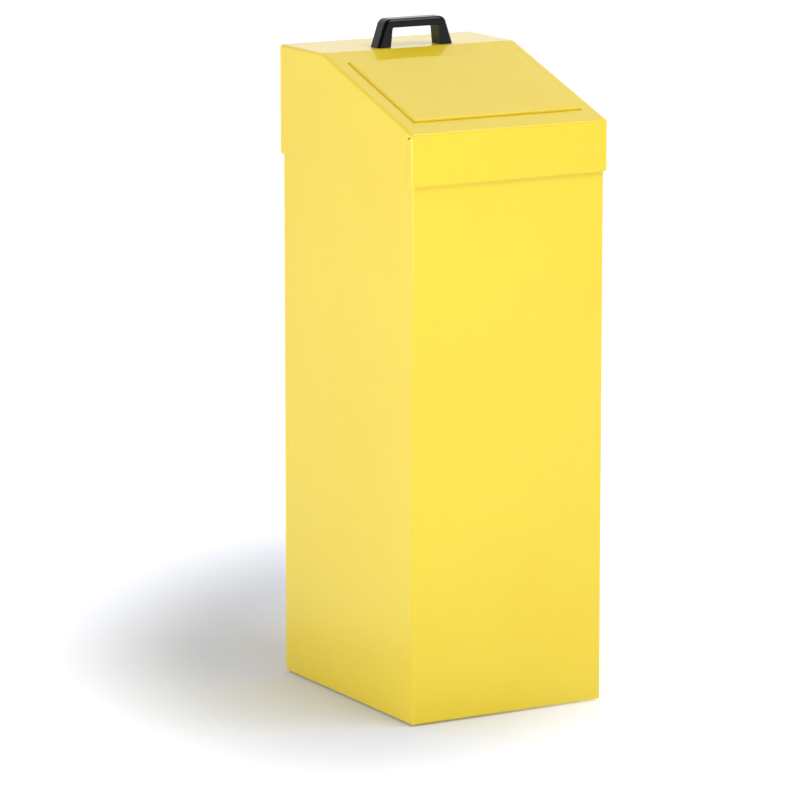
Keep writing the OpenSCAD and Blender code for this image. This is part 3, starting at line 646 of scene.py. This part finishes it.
def makeSprings():
    # each spring is wound from one wire; its last coil and hooked leg turn with the flap
    spec = {"wire": 1.0, "coil": 5.9, "turns": 4, "steps": 24, "still": 22.0, "moving": 28.0, "hookBend": 2.0}
    for side, word in ((-1, "Left"), (1, "Right")):
        node = word.lower()
        coilLow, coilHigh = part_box("spring_right")
        hookLow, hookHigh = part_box("spring_hook_right")
        wire = spec["wire"] * mm
        lean = hingePlace @ Matrix.Rotation(math.radians(-slopeSpec["springLean"]), 4, "X")
        bm = bmesh.new()
        pen = Wire(bm, wire, (coilLow.x + wire, 0, spec["coil"] * mm), (0, 1, 0))
        pen.bend((1, 0, 0), -2 * math.pi * spec["turns"], spec["coil"] * mm, spec["steps"] * spec["turns"],
                 coilHigh.x - coilLow.x - 2 * wire)
        pen.run(spec["still"] * mm)
        finishWire("spring" + word, bm, lean, side, "hood", "spring_" + node)
        bm = bmesh.new()
        start = Matrix.Rotation(math.radians(-30), 4, "X")
        x = hookHigh.x - wire
        pen = Wire(bm, wire, start @ Vector((x, 0, -spec["coil"] * mm)), start.to_3x3() @ Vector((0, -1, 0)))
        pen.bend((1, 0, 0), math.radians(-330), spec["coil"] * mm, 28)
        pen.run(spec["moving"] * mm)
        pen.bend((0, 0, 1), math.radians(-90), spec["hookBend"] * mm, 8)
        pen.run(x - spec["hookBend"] * mm - hookLow.x)
        finishWire("springHook" + word, bm, lean, side, "flap", "spring_hook_" + node)


def finishWire(name, bm, place, side, body, node):
    dropInner(bm)
    bmesh.ops.recalc_face_normals(bm, faces=bm.faces)
    ends = [edge for edge in bm.edges if any(len(face.verts) > 4 for face in edge.link_faces)]
    bmesh.ops.bevel(bm, geom=ends, offset=0.2 * mm, segments=2, profile=0.5, affect="EDGES", material=-1)
    bmesh.ops.transform(bm, matrix=place, verts=bm.verts)
    if side < 0:
        bmesh.ops.scale(bm, vec=(-1, 1, 1), verts=bm.verts)
        bmesh.ops.recalc_face_normals(bm, faces=bm.faces)
    slotName = slotOf[node]
    piece = addPiece(name, bm, body, slotName, node)
    piece.modifiers.new("shading", "WEIGHTED_NORMAL")


def makeLoops():
    # drop handles of bent wire
    spec = {"wire": 2.5, "arm": 38.0, "pivotBend": 2.8, "bend": 6.0}
    for word in ("front", "back"):
        node = "liner_loop_" + word
        low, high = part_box(node)
        wire, arm, pivotBend, bend = (spec[key] * mm for key in ("wire", "arm", "pivotBend", "bend"))
        axis = Vector((0, (low.y + high.y) / 2, high.z - wire))
        fall = high.z - low.z - 2 * wire
        bm = bmesh.new()
        pen = Wire(bm, wire, (low.x, axis.y, axis.z), (1, 0, 0), 20)
        pen.run(-arm - pivotBend - low.x)
        pen.bend((0, 1, 0), math.radians(90), pivotBend, 8)
        pen.run(fall - pivotBend - bend)
        pen.bend((0, 1, 0), math.radians(-90), bend, 10)
        pen.run(2 * (arm - bend))
        pen.bend((0, 1, 0), math.radians(-90), bend, 10)
        pen.run(fall - pivotBend - bend)
        pen.bend((0, 1, 0), math.radians(90), pivotBend, 8)
        pen.run(high.x - arm - pivotBend)
        finishWire("linerLoop" + word.title(), bm, Matrix.Identity(4), 1, word + "_loop", node)


makeHood()
makeFlap()
makeHandle()
print("hood, flap and handle made")
makeBody()
makeBackPanel()
makeWelds()
print("body made")
makeSprings()
makeLoops()
print("springs and drop handles made")


def makeFloor():
    spec = {"half": 14.0}
    bm = bmesh.new()
    bmesh.ops.create_grid(bm, x_segments=1, y_segments=1, size=spec["half"])
    mesh = bpy.data.meshes.new("floor")
    bm.to_mesh(mesh)
    bm.free()
    floor = bpy.data.objects.new("floor", mesh)
    bpy.context.scene.collection.objects.link(floor)
    mesh.materials.append(newMaterial("floorGlowAndPaintedShadow", floorGlowAndPaintedShadow))


def makeSky():
    # soft white surroundings, brighter behind and dim overhead
    spec = {"front": 0.05, "behind": 1.03, "turnFrom": -0.5, "turnTo": 0.5, "overhead": 0.1, "from": 0.72,
            "to": 0.95}
    world = bpy.data.worlds.new("studio")
    bpy.context.scene.world = world
    world.use_nodes = True
    b = Build(world.node_tree)
    way = b.node("ShaderNodeSeparateXYZ", None, Vector=b.node("ShaderNodeTexCoord")["Generated"])
    low = 1.0 - b.band(way["Z"], spec["from"], spec["to"]) * (1.0 - spec["overhead"])
    back = b.band(way["Y"], spec["turnFrom"], spec["turnTo"])
    strength = (spec["front"] + back * (spec["behind"] - spec["front"])) * low
    shader = b.node("ShaderNodeBackground", None, Color=rgb(1.0, 1.0, 1.0), Strength=strength)
    b.node("ShaderNodeOutputWorld", None, Surface=shader["Background"])


def makeSoftboxes():
    # a large one high in front lights the front and the slope; a low strip on the left picks out the upright
    # corner, and a small lamp in front draws the line along the handle
    specs = {"mainBox": {"place": (1.1, -1.9, 4.2), "aim": (0.0, 0.0, 0.6), "width": 3.4, "height": 2.4,
                         "power": 112.0},
             "cornerStrip": {"place": (-2.4, -1.8, 0.42), "aim": (0.0, 0.0, 0.6), "width": 0.25, "height": 0.5,
                             "power": 19.0},
             "frontLamp": {"place": (-0.765, -3.31, 1.13), "aim": (0.0, 0.0, 0.7), "width": 0.2, "height": 0.2,
                           "power": 9.0}}
    for name, spec in specs.items():
        light = bpy.data.lights.new(name, "AREA")
        light.shape = "RECTANGLE"
        light.size = spec["width"]
        light.size_y = spec["height"]
        light.energy = spec["power"]
        lamp = bpy.data.objects.new(name, light)
        lamp.location = spec["place"]
        lamp.rotation_mode = "QUATERNION"
        lamp.rotation_quaternion = (Vector(spec["place"]) - Vector(spec["aim"])).to_track_quat("Z", "Y")
        bpy.context.scene.collection.objects.link(lamp)


def makeCamera():
    # the view is given by the angles round the bin, the point looked at and the distance
    spec = {"azimuth": -29.647, "elevation": 10.999, "distance": 7.319, "lens": 226.8,
            "across": -0.018, "up": 0.4723}
    az = math.radians(-spec["azimuth"])
    el = math.radians(spec["elevation"])
    back = Vector((-math.sin(az) * math.cos(el), -math.cos(az) * math.cos(el), math.sin(el)))
    right = Vector((math.cos(az), -math.sin(az), 0.0))
    up = right.cross(-back)
    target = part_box("body_wrap")[0] + right * spec["across"] + up * spec["up"]
    cam = bpy.data.cameras.new("camera")
    cam.lens = spec["lens"]
    cam.sensor_width = 36.0
    cam.clip_end = 60.0
    eye = bpy.data.objects.new("camera", cam)
    eye.location = target + back * spec["distance"]
    eye.rotation_mode = "QUATERNION"
    eye.rotation_quaternion = (-back).to_track_quat("-Z", "Y")
    bpy.context.scene.collection.objects.link(eye)
    bpy.context.scene.camera = eye


makeFloor()
makeSky()
makeSoftboxes()
makeCamera()
bpy.context.scene.view_settings.view_transform = "Standard"
print("stage, light and camera set")
